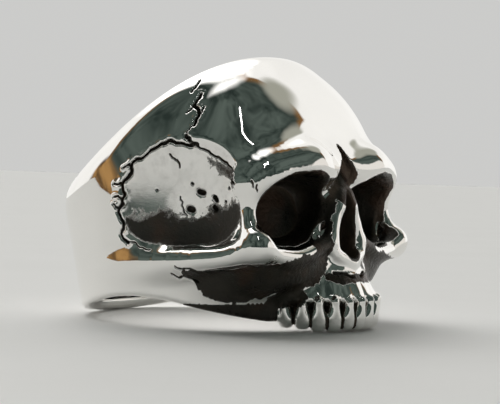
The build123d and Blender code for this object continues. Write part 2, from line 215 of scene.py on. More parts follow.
def vault(spot):
    """The dome of the head, squarer in front than behind."""
    ahead = spot.ahead - VAULT.ahead * reach
    in_front = ahead > 0
    radii = (VAULT.wide * half_width, np.where(in_front, forehead, VAULT.long) * reach,
             VAULT.high * skull_height)
    offsets = (spot.side, ahead, spot.up - VAULT.up * skull_height)
    wide, long, high = [np.abs(way) / radius + 1e-6 for way, radius in zip(offsets, radii)]
    power = np.where(in_front, 3.0, 2.1)
    plan = (wide ** power + long ** power) ** (1 / power)
    size = (plan ** 2.1 + high ** 2.1) ** (1 / 2.1)
    level = (plan / size) ** 1.1
    slope = ((level * (wide / plan) ** (power - 1) / radii[0]) ** 2
             + (level * (long / plan) ** (power - 1) / radii[1]) ** 2
             + ((high / size) ** 1.1 / radii[2]) ** 2)
    return (size - 1) / np.sqrt(slope)


def eased(beads):
    """More beads along a smooth line through the given ones."""
    row = [beads[0]] + list(beads) + [beads[-1]]
    finer = []
    for before, start, end, after in zip(row, row[1:], row[2:], row[3:]):
        for share in (0, 0.25, 0.5, 0.75):
            finer.append(Bead(*[
                0.5 * (2 * b + (c - a) * share + (2 * a - 5 * b + 4 * c - d) * share ** 2
                       + (3 * b - a - 3 * c + d) * share ** 3)
                for a, b, c, d in zip(before, start, end, after)]))
    return finer + [beads[-1]]


def ridge(spot, beads):
    """A tapered bar along a row of beads."""
    form = None
    row = [np.array([bead.side * half_width, bead.ahead * reach, bead.up * skull_height,
                     bead.thick * bone]) for bead in eased(beads)]
    for start, end in zip(row[:-1], row[1:]):
        run = (end - start)[:3]
        offset = [place - near for place, near in zip(spot, start[:3])]
        share = np.clip(sum(o * r for o, r in zip(offset, run)) / (run @ run), 0, 1)
        gap = np.sqrt(sum((o - share * r) ** 2 for o, r in zip(offset, run)))
        bar = gap - start[3] - share * (end[3] - start[3])
        form = bar if form is None else np.minimum(form, bar)
    return form


def from_hole(spot):
    """Distance from the finger hole's axis."""
    lean = math.radians(bore_lean)
    return np.hypot(spot.side, spot.ahead * math.cos(lean) + spot.up * math.sin(lean))


def smooth(share):
    share = np.clip(share, 0, 1)
    return share * share * (3 - 2 * share)


def upper_edge(spot):
    """The rim climbs from the band at the back to the crown, steepest at the temples."""
    run = half_width + crown_ahead * reach
    share = np.clip((spot.ahead + half_width) / run, 0, 1) ** 1.25
    back = shank_height - half_width * math.tan(math.radians(bore_lean))
    rounded_off = crown_edge / 8
    level = back + (skull_height - back) * (share + smooth(share)) / 2 + rounded_off
    return (spot.up - level) / math.hypot(1, (skull_height - back) / run)


def lower_edge(spot):
    """The band's lower edge is square to the hole, and slopes down to the jaw in front."""
    slope = math.radians(jaw_slope)
    band = spot.ahead * math.tan(math.radians(bore_lean))
    jaw_side = np.maximum(-math.tan(slope) * spot.ahead, -jaw_drop)
    return (join(band, jaw_side, 2 * broad_edge) - spot.up) * math.cos(slope)


def tooth_form(spot, tooth):
    """A rounded crown that narrows towards the gum."""
    turn = math.radians(tooth.angle)
    middle = (jaw_radius * math.sin(turn), jaw_middle + jaw_radius * math.cos(turn),
              gum_line - 0.31 * tooth_height)
    along, out, up = turned(spot, middle, -tooth.angle)
    out = out - up * math.tan(math.radians(tooth_slant))
    neck = 1 - (1 - tooth_neck) * smooth((up + tooth_height / 5) / (tooth_height / 2))
    corner = 0.45 * tooth_width
    ways = [np.abs(along) - neck * tooth.wide * tooth_width / 2 + corner,
            np.abs(out) - tooth_thick / 2 + corner,
            np.abs(up) - tooth.tall * tooth_height / 2 + corner]
    outside = np.sqrt(sum(np.maximum(way, 0) ** 2 for way in ways))
    return outside + np.minimum(np.maximum.reduce(ways), 0) - corner


def teeth(spot):
    """The row of teeth."""
    return np.minimum.reduce([tooth_form(spot, tooth) for tooth in TEETH])


def jaw(spot):
    """The upper jaw: a stub that widens down to the gums, with a bulge over each root."""
    angle = np.degrees(np.arctan2(spot.side, spot.ahead - jaw_middle))
    root = np.maximum.reduce([smooth(1 - np.abs(angle - tooth.angle) / 8) for tooth in TEETH])
    taper = jaw_taper * np.clip(spot.up - gum_line / 2, 0, 4 * broad_edge)
    bulge = gum / 3 * root * smooth((tooth_height / 2 - spot.up) / tooth_height * 1.6)
    inwards = 2.4 * gum * smooth((gum_line - spot.up) / broad_edge + 0.3)
    radius = jaw_radius + gum / 2 + bulge - taper - inwards
    stub = np.hypot(spot.side, spot.ahead - jaw_middle) - radius
    return np.maximum(stub, np.maximum(spot.up - 1.2 * tooth_height, -jaw_drop - spot.up))


def socket(spot):
    """An eye socket, turned out from the face, narrowing inwards."""
    middle = (SOCKET.side * half_width, SOCKET.ahead * reach, SOCKET.up * skull_height)
    across, out, up = turned(spot, middle, -SOCKET.turn)
    up = up + 0.10 * across
    deep = np.maximum(out, -socket_depth)
    wide = socket_width / 2 + 0.12 * deep
    high = socket_height / 2 + 0.10 * deep
    size = ((np.abs(across) / wide) ** 2.4 + (np.abs(up) / high) ** 2.4) ** (1 / 2.4)
    return common((size - 1) * socket_height / 2, -(out + socket_depth), vault_edge)


def nose(spot):
    """A pear-shaped opening, narrow at the top."""
    rise = (spot.up - nose_up * skull_height) / (nose_height / 2)
    wide = nose_width * (0.15 + 0.175 * np.clip(1.2 - rise, 0, 2))
    size = np.hypot(spot.side / wide, rise)
    floor = 0.89 * reach - nose_depth - spot.ahead
    return common((size - 1) * nose_width / 2, floor, soft_edge)


def face_front(spot):
    """The space ahead of the face under the brows."""
    ahead = face_ahead * reach + 0.12 * (spot.up - 0.2 * skull_height) - spot.ahead
    return common(ahead, spot.up - brow_up * skull_height, broad_edge)


def metal(spot):
    """The ring's skin: below zero inside the metal."""
    spot = Spot(np.abs(spot.side), spot.ahead, spot.up)
    reach_out = from_hole(spot)
    form = vault(spot)
    form = join(form, reach_out - bore_radius - shank_wall, vault_edge)
    form = carve(form, face_front(spot), vault_edge)
    form = carve(form, lump(spot, TEMPLE), crisp_edge)
    form = carve(form, lump(spot, TEMPLE_PIT), vault_edge)
    form = join(form, lump(spot, CHEEK), broad_edge)
    form = carve(form, ridge(spot, CHEEK_RECESS), soft_edge)
    form = join(form, jaw(spot), broad_edge)
    form = join(form, ridge(spot, BROW), vault_edge)
    form = join(form, ridge(spot, BROW_END), 2 * vault_edge)
    form = join(form, ridge(spot, SOCKET_SIDE), soft_edge)
    form = join(form, ridge(spot, SOCKET_FLOOR), soft_edge)
    form = join(form, ridge(spot, CHEEK_ARCH), broad_edge)
    form = carve(form, ridge(spot, FURROW), crisp_edge)
    form = carve(form, socket(spot), soft_edge)
    form = join(form, lump(spot, NASAL), soft_edge)
    form = join(form, ridge(spot, NOSE_BRIDGE), soft_edge)
    form = join(form, ridge(spot, NOSE_RIM), soft_edge)
    form = carve(form, nose(spot), crisp_edge)
    form = np.minimum(form, reach_out - bore_radius - least_wall)
    form = common(form, upper_edge(spot), crown_edge)
    form = common(form, lower_edge(spot), soft_edge)
    form = join(form, teeth(spot), crisp_edge)
    return common(form, bore_radius - reach_out, rim_round)


# Knots of the seams and cracks, ahead a share of reach and up of skull_height
Seam = namedtuple("Seam", "ahead up")
TEMPLE_SEAM = [
    Seam(0.367, 0.591), Seam(0.316, 0.591), Seam(0.258, 0.604), Seam(0.212, 0.603),
    Seam(0.165, 0.589), Seam(0.119, 0.566), Seam(0.089, 0.545), Seam(0.050, 0.537),
    Seam(0.021, 0.521), Seam(0.014, 0.492), Seam(-0.001, 0.464), Seam(-0.033, 0.442),
    Seam(-0.039, 0.419), Seam(-0.027, 0.394), Seam(-0.038, 0.374), Seam(-0.032, 0.353),
    Seam(-0.062, 0.333), Seam(-0.049, 0.304), Seam(-0.029, 0.271), Seam(-0.042, 0.238),
    Seam(-0.040, 0.210), Seam(0.000, 0.194),
]
SEAM_SPURS = [
    [Seam(-0.033, 0.442), Seam(-0.093, 0.434)], [Seam(-0.038, 0.374), Seam(-0.092, 0.388)],
    [Seam(-0.049, 0.337), Seam(-0.099, 0.352)], [Seam(0.027, 0.525), Seam(-0.035, 0.505)],
]
BROW_SEAM = [
    Seam(0.367, 0.591), Seam(0.419, 0.574), Seam(0.471, 0.550), Seam(0.526, 0.529),
    Seam(0.570, 0.505), Seam(0.607, 0.465), Seam(0.640, 0.430),
]
CROWN_SEAM = [
    Seam(0.337, 0.804), Seam(0.337, 0.787), Seam(0.332, 0.768), Seam(0.325, 0.755),
    Seam(0.348, 0.739), Seam(0.367, 0.720), Seam(0.369, 0.695), Seam(0.367, 0.677),
]
CROWN_SPURS = [
    [Seam(0.299, 0.855), Seam(0.297, 0.834), Seam(0.283, 0.811)],
    [Seam(0.328, 0.749), Seam(0.315, 0.736), Seam(0.301, 0.722)],
    [Seam(0.389, 0.748), Seam(0.384, 0.729), Seam(0.377, 0.712)],
]
SEAM_MEETING = [Seam(0.330, 0.633), Seam(0.345, 0.614), Seam(0.361, 0.600), Seam(0.385, 0.594)]
FAINT_CRACKS = [
    [Seam(0.367, 0.677), Seam(0.353, 0.666), Seam(0.346, 0.649), Seam(0.330, 0.633)],
    [Seam(0.000, 0.194), Seam(0.047, 0.198), Seam(0.086, 0.176), Seam(0.150, 0.170)],
    [Seam(0.225, 0.556), Seam(0.253, 0.531)], [Seam(0.264, 0.531), Seam(0.279, 0.503)],
    [Seam(0.272, 0.386), Seam(0.276, 0.337), Seam(0.293, 0.305)],
]
CHEEK_CRACKS = [
    [Seam(0.315, 0.103), Seam(0.355, 0.092), Seam(0.393, 0.095), Seam(0.456, 0.076)],
    [Seam(0.275, 0.070), Seam(0.315, 0.056), Seam(0.350, 0.060), Seam(0.395, 0.044)],
]
BROW_NICKS = [
    [Seam(0.752, 0.427), Seam(0.749, 0.404)], [Seam(0.732, 0.445), Seam(0.738, 0.420)],
]
NOSE_GROOVE = [Seam(0.880, 0.074), Seam(0.914, 0.062), Seam(0.928, 0.052)]
# Pits are very short seams
FINE_PITS = [
    [Seam(0.337, 0.440), Seam(0.341, 0.437)], [Seam(0.146, 0.412), Seam(0.148, 0.409)],
    [Seam(0.560, 0.420), Seam(0.566, 0.416)], [Seam(0.520, 0.362), Seam(0.526, 0.360)],
]
WIDE_PITS = [
    [Seam(0.376, 0.402), Seam(0.392, 0.395)], [Seam(0.446, 0.377), Seam(0.464, 0.370)],
    [Seam(0.308, 0.332), Seam(0.320, 0.327)], [Seam(0.444, 0.337), Seam(0.452, 0.331)],
]

# How each group of seams is cut: half width, depth, raised lip and raggedness, shares of bone
Cut = namedtuple("Cut", "seams half deep lip ragged")
CUTS = [
    Cut([TEMPLE_SEAM], 0.21, 0.40, 0.04, 0.10),
    Cut(SEAM_SPURS, 0.13, 0.22, 0.05, 0.04),
    Cut([BROW_SEAM], 0.13, 0.22, 0.01, 0.08),
    Cut([CROWN_SEAM], 0.24, 0.44, 0.02, 0.08),
    Cut(CROWN_SPURS, 0.12, 0.24, 0.00, 0.04),
    Cut([SEAM_MEETING], 0.26, 0.38, 0.02, 0.10),
    Cut(FAINT_CRACKS, 0.09, 0.14, 0.00, 0.04),
    Cut(CHEEK_CRACKS, 0.15, 0.30, 0.03, 0.08),
    Cut(BROW_NICKS, 0.10, 0.24, 0.00, 0.02),
    Cut([NOSE_GROOVE], 0.22, 0.30, 0.02, 0.08),
    Cut(FINE_PITS, 0.15, 0.22, 0.00, 0.04),
    Cut(WIDE_PITS, 0.32, 0.46, 0.02, 0.08),
]
cut_side = 0.85             # a cut's sloping sides take up this share of its half width
lip_way = 1.5               # its raised lip runs this many half widths out
cut_reach = 3.2             # and the skin's own shading is back this many out
# Edges are halved this near a seam, a share of bone, or where they turn by this many degrees
Refined = namedtuple("Refined", "near bend")
REFINED = [Refined(0.46, 18), Refined(0.26, 30)]
# The temple's satin face, an oval with squarer ends: middle and radii, as shares of reach
# and skull_height, and its power
Oval = namedtuple("Oval", "ahead up long high power")
TEMPLE_FACE = Oval(0.300, 0.392, 0.352, 0.214, 3)

# Where patina shows beyond the hollows themselves, in the same shares as the ridges
CHEEK_SHADE = [
    Bead(1.00, 0.360, 0.050, 0.50), Bead(0.90, 0.480, 0.030, 1.30),
    Bead(0.78, 0.640, 0.020, 1.70), Bead(0.64, 0.770, 0.050, 1.50),
    Bead(0.51, 0.830, 0.060, 1.50), Bead(0.36, 0.850, 0.100, 1.10),
    Bead(0.27, 0.870, 0.170, 0.60),
]
GUM_SHADE = [
    Bead(0.50, 0.640, -0.020, 1.00), Bead(0.47, 0.760, -0.025, 0.85),
    Bead(0.42, 0.850, -0.010, 0.45),
]
NOSE_SIDE_SHADE = [
    Bead(0.14, 0.835, 0.400, 0.35), Bead(0.17, 0.838, 0.340, 0.40),
    Bead(0.21, 0.842, 0.285, 0.48), Bead(0.25, 0.846, 0.235, 0.60),
    Bead(0.30, 0.860, 0.190, 0.75), Bead(0.33, 0.862, 0.150, 0.80),
]
NOSE_SHADE = [
    Bead(0.25, 0.870, 0.060, 0.35), Bead(0.15, 0.924, 0.046, 0.45), Bead(0.00, 0.940, 0.052, 0.40),
]
TEMPLE_SHADE = [
    Bead(0.99, 0.020, 0.235, 1.10), Bead(0.96, 0.140, 0.240, 1.50),
    Bead(0.88, 0.290, 0.225, 1.50), Bead(0.83, 0.450, 0.245, 1.60),
    Bead(0.85, 0.600, 0.265, 1.60),
]
TEMPLE_STREAK = [
    Bead(0.85, 0.449, 0.530, 0.05), Bead(0.84, 0.522, 0.493, 0.40),
    Bead(0.92, 0.630, 0.452, 0.45), Bead(0.92, 0.678, 0.400, 0.30),
]


def wander(spot, size):
    """A steady unevenness between -1 and 1, with waves of about this size."""
    waves = [(1.00, 0.31, 0.52, 0.4), (-0.46, 1.00, 0.37, 1.7), (0.29, -0.58, 1.00, 2.9),
             (1.37, 1.13, -0.61, 4.1), (-0.83, 0.97, 1.49, 5.3)]
    turn = 2 * math.pi / size
    return sum(np.sin(turn * (a * spot.side + b * spot.ahead + c * spot.up) + start)
               for a, b, c, start in waves) / 3.2


# The fine skin, worked out close to the surface only
def steps(start, spans):
    places = [start]
    for end, step in spans:
        count = max(1, round((end - places[-1]) / step))
        places += list(np.linspace(places[-1], end, count + 1)[1:])
    return np.array(places)


def in_parts(skin, at):
    """The field at many spots, a part at a time, so that it stays quick."""
    part = 40000
    return np.concatenate([skin(at[i:i + part]) for i in range(0, len(at), part)])


def sampled(axes, skin):
    """The field on a grid. It is exact near the skin and keeps only its sign elsewhere."""
    coarse = 4
    picks = [np.unique(np.append(np.arange(0, len(axis), coarse), len(axis) - 1))
             for axis in axes]
    spots = np.meshgrid(*[axis[pick] for axis, pick in zip(axes, picks)], indexing="ij")
    rough = in_parts(skin, np.array([spot.ravel() for spot in spots]).T).reshape(spots[0].shape)
    index = [np.searchsorted(pick, np.arange(len(axis)), side="right") - 1
             for pick, axis in zip(picks, axes)]
    index = [np.minimum(i, len(pick) - 2) for i, pick in zip(index, picks)]
    cells = np.stack(list(corners(rough).values()))
    span = max((axis[pick][1:] - axis[pick][:-1]).max() for axis, pick in zip(axes, picks))
    near = np.abs(cells).min(0) < 1.1 * span
    near |= (cells < 0).any(0) != (cells < 0).all(0)
    block = np.ix_(*index)
    values = np.where(cells[0] < 0, -1.0, 1.0)[block]
    todo = np.array(np.nonzero(near[block]))
    at = np.array([axis[row] for axis, row in zip(axes, todo)]).T
    values[tuple(todo)] = in_parts(skin, at)
    return values


def corners(values):
    """The eight corners of every cell, as shifted views."""
    ends = [(slice(0, -1), slice(1, None))] * 3
    return {(i, j, k): values[ends[0][i], ends[1][j], ends[2][k]]
            for i in (0, 1) for j in (0, 1) for k in (0, 1)}


def mended(values):
    """Fill the spots where metal would meet metal only along an edge or at a corner."""
    while True:
        inside = values < 0
        fill = np.zeros_like(inside)
        for way in range(3):
            flat = [slice(None)] * 3
            one, two = [other for other in range(3) if other != way]
            square = {}
            for i in (0, 1):
                for j in (0, 1):
                    flat[one] = slice(i, inside.shape[one] - 1 + i)
                    flat[two] = slice(j, inside.shape[two] - 1 + j)
                    square[i, j] = tuple(flat)
            crossed = ((inside[square[0, 0]] == inside[square[1, 1]])
                       & (inside[square[0, 1]] == inside[square[1, 0]])
                       & (inside[square[0, 0]] != inside[square[0, 1]]))
            for view in square.values():
                fill[view] |= crossed
        corner = corners(inside)
        total = sum(view.astype(int) for view in corner.values())
        for i, j, k in ((0, 0, 0), (1, 0, 0), (0, 1, 0), (0, 0, 1)):
            pair = corner[i, j, k] == corner[1 - i, 1 - j, 1 - k]
            lonely = pair & (((total == 2) & corner[i, j, k]) | ((total == 6) & ~corner[i, j, k]))
            for view in corners(fill).values():
                view |= lonely
        fill &= ~inside
        if not fill.any():
            return values
        values = np.where(fill, -0.02, values)


def net(values, axes):
    """A net over the skin: one knot in each cell that the skin crosses, and its meshes."""
    inside = values < 0
    total = sum(view.astype(int) for view in corners(inside).values())
    cells = np.array(np.nonzero((total > 0) & (total < 8)))
    number = np.full(total.shape, -1)
    number[tuple(cells)] = np.arange(cells.shape[1])
    places = np.zeros(cells.T.shape)
    count = np.zeros(cells.shape[1])
    for way in range(3):
        one, two = [other for other in range(3) if other != way]
        for i in (0, 1):
            for j in (0, 1):
                near = cells.copy()
                near[one] += i
                near[two] += j
                far = near.copy()
                far[way] += 1
                first, last = values[tuple(near)], values[tuple(far)]
                crossed = (first < 0) != (last < 0)
                share = first / np.where(crossed, first - last, 1)
                ends = [np.array([axis[row] for axis, row in zip(axes, end)]).T
                        for end in (near, far)]
                step = ends[0] + (ends[1] - ends[0]) * share[:, None]
                places += np.where(crossed[:, None], step, 0)
                count += crossed
    meshes = []
    for way in range(3):
        one, two = (way + 1) % 3, (way + 2) % 3
        low = np.swapaxes(inside, 0, way)[:-1]
        high = np.swapaxes(inside, 0, way)[1:]
        edges = np.array(np.nonzero(low != high))
        out = high[tuple(edges)]
        edges[[0, way]] = edges[[way, 0]]
        loop = []
        for i, j in ((-1, -1), (0, -1), (0, 0), (-1, 0)):
            cell = edges.copy()
            cell[one] += i
            cell[two] += j
            loop.append(number[tuple(cell)])
        loop = np.array(loop).T
        loop[out] = loop[out][:, ::-1]
        meshes.append(loop)
    return places / count[:, None], np.vstack(meshes)


def outermost(meshes):
    """The largest net only: a pocket smaller than a facet is filled, and a crumb left out."""
    net_of = np.arange(meshes.max() + 1)
    while True:
        lowest = net_of.copy()
        np.minimum.at(lowest, meshes, net_of[meshes].min(1)[:, None])
        lowest = lowest[lowest]
        if (lowest == net_of).all():
            break
        net_of = lowest
    names, sizes = np.unique(net_of[meshes[:, 0]], return_counts=True)
    return meshes[net_of[meshes[:, 0]] == names[sizes.argmax()]]


def slope(skin, at):
    """Which way the field rises, and how fast."""
    step = 0.03
    return np.array([(in_parts(skin, at + shift) - in_parts(skin, at - shift)) / (2 * step)
                     for shift in step * np.eye(3)]).T


def grid():
    """Half of the side lines, then the ahead and up lines, fine on the face and temples."""
    wide = half_width + 1.6 * bone
    back = -half_width - 2.5 * bone
    half_side = steps(0.0, [(wide, 1.15 * net_step)])
    ahead = steps(back, [(-0.13 * reach, 2.2 * net_step), (reach + bone, net_step)])
    up = steps(-tooth_height - bone, [(0.66 * skull_height, net_step),
                                      (skull_height + bone, 1.3 * net_step)])
    return half_side, ahead, up


def halves(places, quads):
    """Each four-sided mesh cut in two across its shorter way."""
    a, b, c, d = [places[corner] for corner in quads.T]
    short = np.linalg.norm(a - c, axis=1) <= np.linalg.norm(b - d, axis=1)
    quads = np.where(short[:, None], quads, np.roll(quads, -1, axis=1))
    return np.vstack([quads[:, [0, 1, 2]], quads[:, [0, 2, 3]]])


def finer(places, meshes, split):
    """Meshes with the marked edges halved. Each mesh with such an edge gives way to more."""
    pairs = np.sort(meshes[:, [0, 1, 1, 2, 2, 0]].reshape(-1, 3, 2), axis=2)
    edges, which = np.unique(pairs.reshape(-1, 2), axis=0, return_inverse=True)
    which = which.reshape(-1, 3)
    marked = split(places, edges)
    middle = np.full(len(edges), -1)
    middle[marked] = len(places) + np.arange(marked.sum())
    places = np.vstack([places, (places[edges[marked, 0]] + places[edges[marked, 1]]) / 2])
    middles = middle[which]
    count = (middles >= 0).sum(1)
    first = np.where(count == 2, np.argmax(middles < 0, axis=1), np.argmax(middles >= 0, axis=1))
    order = (first[:, None] + np.arange(3)) % 3
    a, b, c = np.take_along_axis(meshes, order, axis=1).T
    ab, bc, ca = np.take_along_axis(middles, order, axis=1).T
    one, two, three = count == 1, count == 2, count == 3
    parts = [meshes[count == 0],
             np.array([a, ab, c]).T[one], np.array([ab, b, c]).T[one],
             np.array([bc, c, ca]).T[two], np.array([a, b, bc]).T[two],
             np.array([a, bc, ca]).T[two],
             np.array([a, ab, ca]).T[three], np.array([ab, b, bc]).T[three],
             np.array([ca, bc, c]).T[three], np.array([ab, bc, ca]).T[three]]
    return places, np.vstack(parts)


knot_gap = 0.12             # between the knots of a seam, a share of bone
seam_stray = 0.09           # and how far they stray to the sides
seam_halvings = 12          # after which a knot is close to the skin


def knots_of(seam):
    """Ahead and up of knots close together along an eased, unsteady seam."""
    row = eased([Bead(0, place.ahead, place.up, 0) for place in seam])
    knots = []
    for start, end in zip(row, row[1:]):
        ends = [np.array([bead.ahead * reach, bead.up * skull_height]) for bead in (start, end)]
        count = max(2, round(np.hypot(*(ends[1] - ends[0])) / (knot_gap * bone)))
        knots += [ends[0] + share * (ends[1] - ends[0]) for share in np.linspace(0, 1, count)]
    knots = np.array(knots)
    flat = Spot(0, *knots.T)
    turns = [wander(flat, 0.62 * bone), wander(flat, 0.93 * bone)]
    return knots + seam_stray * bone * np.array(turns).T


def on_skin(skin, seam):
    """A seam's knots, laid from the side on the near half of the skull."""
    knots = knots_of(seam)
    sides = np.linspace(half_width + 3 * bone, 0, num=60)
    form = np.array([skin(np.column_stack([np.full(len(knots), side), knots])) for side in sides])
    first = np.argmax(form < 0, axis=0)
    outer, inner = sides[np.maximum(first - 1, 0)], sides[first]
    for _ in range(seam_halvings):
        half = (outer + inner) / 2
        within = skin(np.column_stack([half, knots])) < 0
        outer, inner = np.where(within, outer, half), np.where(within, half, inner)
    laid = np.column_stack([outer, knots])
    return laid[np.abs(skin(laid)) < 0.1 * bone]


def sculpted():
    """Knots on the fine skin, its meshes, the way out of the metal at each and the seams."""
    def skin(at):
        return metal(Spot(*at.T))

    half_side, ahead, up = grid()
    half = sampled((half_side, ahead, up), skin)
    values = mended(np.concatenate([half[:0:-1], half]))
    side = np.concatenate([-half_side[:0:-1], half_side])
    places, meshes = net(values, (side, ahead, up))
    used, meshes = np.unique(outermost(meshes), return_inverse=True)
    places, meshes = places[used], meshes.reshape(-1, 4)
    places, out = settled_on(skin, places)
    meshes = halves(places, meshes)
    rows = [[on_skin(skin, seam) for seam in cut.seams] for cut in CUTS]
    lines = np.concatenate([row for group in rows for row in group])
    for near, bend in REFINED:
        def split(spots, edges, near=near, bend=bend):
            way = (spots[edges[:, 0]] + spots[edges[:, 1]]) / 2
            way[:, 0] = np.abs(way[:, 0])
            run = np.linalg.norm(spots[edges[:, 0]] - spots[edges[:, 1]], axis=1)
            turn = (out[edges[:, 0]] * out[edges[:, 1]]).sum(1)
            curved = (turn < math.cos(math.radians(bend))) & (run > 0.5 * net_step)
            in_front = spots[edges[:, 1], 1] > 0
            return (nearest(way, lines) < near * bone) | (curved & in_front)
        places, meshes = finer(places, meshes, split)
        places, out = settled_on(skin, places)
    return places, meshes, out, skin, rows


def nearest(at, lines):
    """Distance to the nearest of the knots in lines."""
    tree = KDTree(len(lines))
    for index, knot in enumerate(lines):
        tree.insert(knot, index)
    tree.balance()
    return np.array([tree.find(spot)[2] for spot in at])


def settled_on(skin, places):
    """The places moved onto the skin, and the way out of the metal there."""
    for _ in range(2):
        out = slope(skin, places)
        gap = in_parts(skin, places) / np.maximum((out ** 2).sum(1), 0.25)
        places = places - np.clip(gap, -0.3 * net_step, 0.3 * net_step)[:, None] * out
    out = slope(skin, places)
    return places, out / np.maximum(np.linalg.norm(out, axis=1), 1e-9)[:, None]


def hollowness(places, out, skin):
    """How much metal stands over each knot, felt at four heights: 0 for none, near 1 for all."""
    closed = 0
    for share in (0.35, 1.0, 2.2, 4.0):
        gap = in_parts(skin, places + out * share * bone)
        closed = closed + np.clip(1 - gap / (share * bone), 0, 1.5)
    return closed / 4


patina_from = 0.3           # patina was left only in front, ahead of this share of the reach
bore_skin = 0.3             # and this share of bone or more outside the hole


def patinated(spot, deep):
    """Where the patina was left: the sockets, nose, furrow, cheek hollows and tooth gaps."""
    ragged = wander(spot, 2.3 * bone) + 0.6 * wander(spot, 0.8 * bone)

    def inside(form, margin, uneven):
        """1 in a form and its margin, with an uneven border, both shares of bone."""
        return smooth((margin * bone - form + uneven * bone * ragged) / (0.12 * bone) + 0.5)

    ring_way = np.hypot(spot.side, spot.ahead - jaw_middle)
    gaps = np.sort(np.stack([tooth_form(spot, tooth) for tooth in TEETH]), axis=0)
    on_arch = (ridge(spot, CHEEK_ARCH) < 0.16 * bone) & (spot.up > 0.095 * skull_height)
    cheeks = inside(np.minimum(ridge(spot, CHEEK_RECESS), ridge(spot, CHEEK_SHADE)), 0.20, 0.12)
    amount = np.maximum.reduce([
        inside(socket(spot), 0.14, 0.03),
        inside(nose(spot), 0.14, 0.03),
        inside(ridge(spot, FURROW), 0.24, 0.12),
        np.where(on_arch, 0, cheeks),
        inside(ridge(spot, NOSE_SHADE), 0.0, 0.06),
        inside(ridge(spot, GUM_SHADE), 0.05, 0.10),
        inside(ridge(spot, NOSE_SIDE_SHADE), 0.05, 0.22),
        np.where(spot.up < gum_line + 0.25 * bone,
                 smooth((0.27 * bone - gaps[1]) / (0.10 * bone)), 0),
        np.where((spot.up < gum_line) & (ring_way > jaw_radius - 2 * bone),
                 smooth((gaps[0] - 0.10 * bone) / (0.12 * bone)), 0),
        smooth((deep - 0.66 + 0.06 * wander(spot, 0.9 * bone)) / 0.10),
    ])
    outside = from_hole(spot) > bore_radius + bore_skin * bone
    return np.where(outside & (spot.ahead > patina_from * reach), amount, 0.0)


def temple_finish(spot):
    """Where the temple's surface is satin, and where patina clouds its lower part."""
    ragged = wander(spot, 2.6 * bone) + 0.6 * wander(spot, 0.9 * bone)
    face = TEMPLE_FACE
    way = (np.abs((spot.ahead / reach - face.ahead) / face.long) ** face.power
           + np.abs((spot.up / skull_height - face.up) / face.high) ** face.power)
    satin = smooth((1.0 - way) / 0.25) * smooth(spot.side / bone - 5)
    cloud = 0.1 * bone - ridge(spot, TEMPLE_SHADE) + 0.30 * bone * ragged
    streak = 0.1 * bone - ridge(spot, TEMPLE_STREAK)
    cloud = np.maximum(smooth(cloud / (1.8 * bone) + 0.5), 0.8 * smooth(streak / bone + 0.5))
    return satin, satin * cloud


def rest_frame():
    """How the ring's own way up turns and drops into the place where the solid lies."""
    hole = next(m for m in frame["record"]["mounts"] if m["name"] == "finger_hole")
    lean = math.atan2(hole["axis"][1], hole["axis"][2])
    return lean, np.array(Matrix.Rotation(math.radians(bore_lean) - lean, 3, "X"))


def lying(places, out, lift):
    """Places and ways out of the metal, in metres, lying as the solid does."""
    lean, turn = rest_frame()
    flip = np.array([1, -1, 1])
    places = (places * flip) @ turn.T
    return (places + np.array([0, lift * math.tan(lean), lift])) / 1000, (out * flip) @ turn.T


def piece(name, data):
    made = bpy.data.objects.new(name, data)
    bpy.context.scene.collection.objects.link(made)
    return made


def path_piece(name, rows, lift):
    """Plain lines along seams of both sides of the skull, for the tree to cut along."""
    knots, edges = [], []
    for row in rows:
        for flip in (1, -1):
            edges += [(len(knots) + i, len(knots) + i + 1) for i in range(len(row) - 1)]
            knots += (row * [flip, 1, 1]).tolist()
    knots = np.array(knots)
    mesh = bpy.data.meshes.new(name)
    mesh.from_pydata(lying(knots, knots, lift)[0].tolist(), edges, [])
    return piece(name, mesh)


# The seams, cut into the skin by a tree of nodes
def nodes_of(tree):
    """Short ways to add nodes and to set or join their sockets, by name or number."""
    def fill(node, given):
        for name, value in given.items():
            if isinstance(value, bpy.types.NodeSocket):
                tree.links.new(value, node.inputs[name])
            else:
                node.inputs[name].default_value = value

    def add(kind, given=(), **settings):
        node = tree.nodes.new(kind)
        for name, value in settings.items():
            setattr(node, name, value)
        fill(node, dict(given))
        return node

    def sums(operation, *values):
        return add("ShaderNodeMath", enumerate(values), operation=operation).outputs[0]

    def span(value, low, high, kind="SMOOTHSTEP"):
        """How far a value is from low to high, from 0 to 1."""
        given = {"Value": value, "From Min": low, "From Max": high}
        return add("ShaderNodeMapRange", given, interpolation_type=kind).outputs["Result"]

    def noise(where, scale, detail=3.0, rough=0.55, distort=0.0):
        """Noise with about this many waves to one unit, which on a piece is a metre."""
        given = {"Vector": where, "Scale": scale, "Detail": detail, "Roughness": rough,
                 "Distortion": distort}
        return add("ShaderNodeTexNoise", given).outputs["Fac"]

    def blend(share, first, second):
        """A mix of two colours, which are the node's sockets 6 and 7."""
        given = {0: share, 6: first, 7: second}
        return add("ShaderNodeMix", given, data_type="RGBA").outputs[2]
    return add, fill, sums, span, noise, blend


